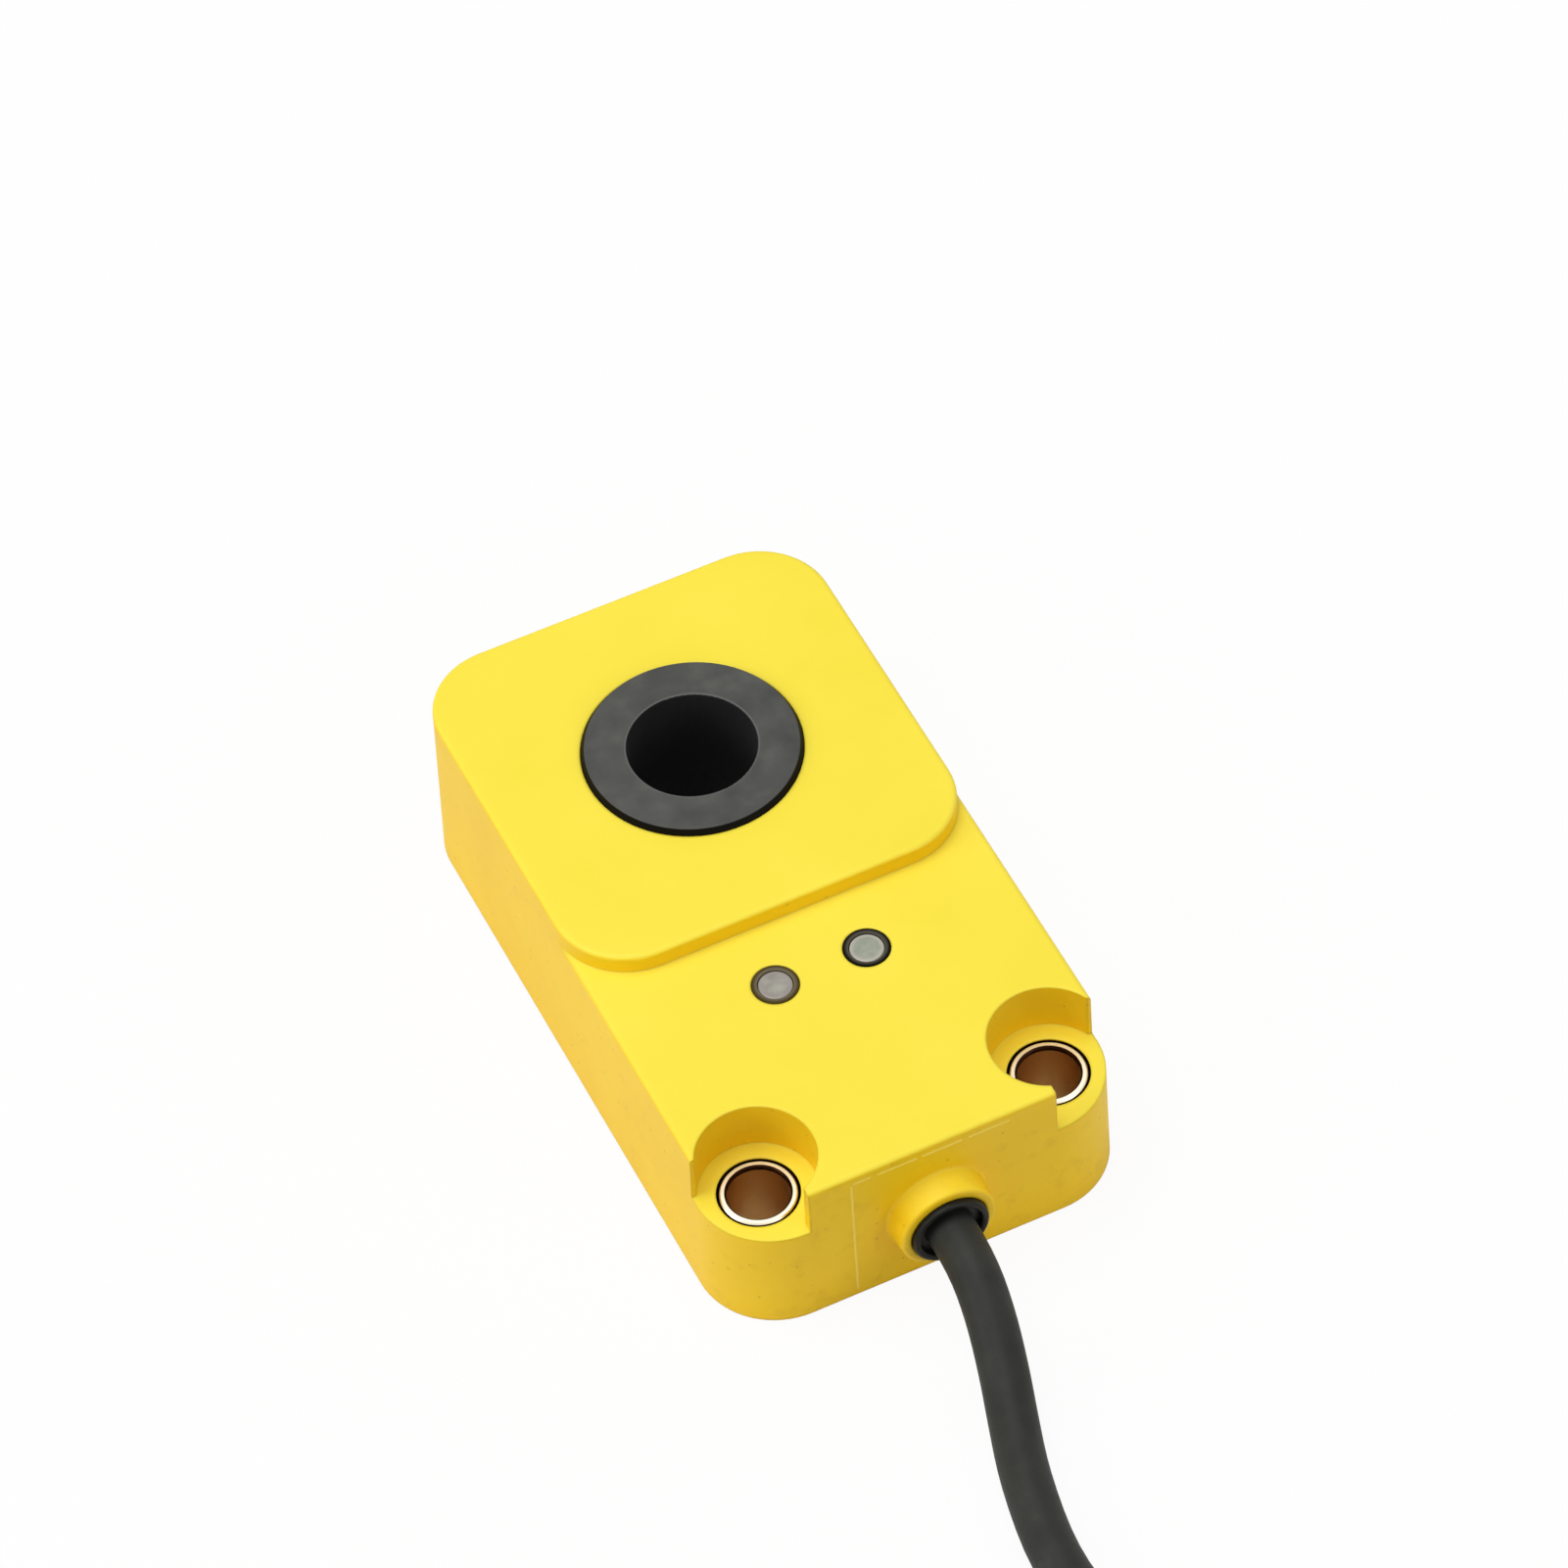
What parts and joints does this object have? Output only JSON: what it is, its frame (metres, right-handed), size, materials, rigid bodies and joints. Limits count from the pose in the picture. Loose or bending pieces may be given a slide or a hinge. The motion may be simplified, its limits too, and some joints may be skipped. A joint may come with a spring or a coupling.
{
  "type": "ring inductive proximity switch",
  "caption": "Flat rectangular inductive sensor: moulded housing with a flanged sensing ring at one end, status lamps, screw recesses and a coiled cable.",
  "frame": {"origin": "on the axis of the sensing ring, in the plane of the base", "axes": "+Z along the ring's axis out of the flanged face, +Y towards the ring's end, cable towards -Y"},
  "size_m": [0.0443, 0.1481, 0.0144],
  "materials": {
    "housing_yellow": "moulded, fine satin",
    "liner_black": "moulded, matt",
    "sleeve_metal": "turned, bright rim",
    "lamp_clear": "clear moulded light pipe",
    "grommet_rubber": "moulded, glossy",
    "cable_sheath": "extruded, satin",
    "core_brown": "extruded insulation",
    "core_black": "extruded insulation",
    "core_blue": "extruded insulation",
    "copper": "bare and enamelled copper wire",
    "crimp_steel": "pressed",
    "ferrite": "sintered",
    "former_plastic": "moulded",
    "board_laminate": "solder mask on glass laminate",
    "chip_black": "moulded package",
    "lamp_chip": "moulded package",
    "capacitor_body": "fired ceramic",
    "tie_black": "moulded strap"
  },
  "bodies": {
    "root": {"housing": "housing_yellow", "base_cover": "housing_yellow", "ring_sleeve": "liner_black", "mounting_sleeve_left": "sleeve_metal", "mounting_sleeve_right": "sleeve_metal", "lamp_bezel_left": "liner_black", "lamp_bezel_right": "liner_black", "lamp_window_left": "lamp_clear", "lamp_window_right": "lamp_clear", "lamp_chip_left": "lamp_chip", "lamp_chip_right": "lamp_chip", "coil_former": "former_plastic", "coil_winding": "copper", "shield_ring": "ferrite", "coil_lead_left": "copper", "coil_lead_right": "copper", "circuit_board": "board_laminate", "oscillator_chip": "chip_black", "output_transistor": "chip_black", "supply_capacitor": "capacitor_body", "protection_diode": "chip_black", "tuning_capacitor": "capacitor_body", "gain_resistor": "chip_black", "output_resistor": "chip_black", "lamp_resistor": "chip_black", "cable_grommet": "grommet_rubber", "cable_clamp": "crimp_steel", "cable_sheath_end": "cable_sheath", "cable_run": "cable_sheath", "cable_coil": "cable_sheath", "cable_tail": "cable_sheath", "cable_tie": "tie_black", "inner_core_brown": "core_brown", "end_core_brown": "core_brown", "bare_strand_brown": "copper", "inner_core_black": "core_black", "end_core_black": "core_black", "bare_strand_black": "copper", "inner_core_blue": "core_blue", "end_core_blue": "core_blue", "bare_strand_blue": "copper"}
  },
  "joints": []
}
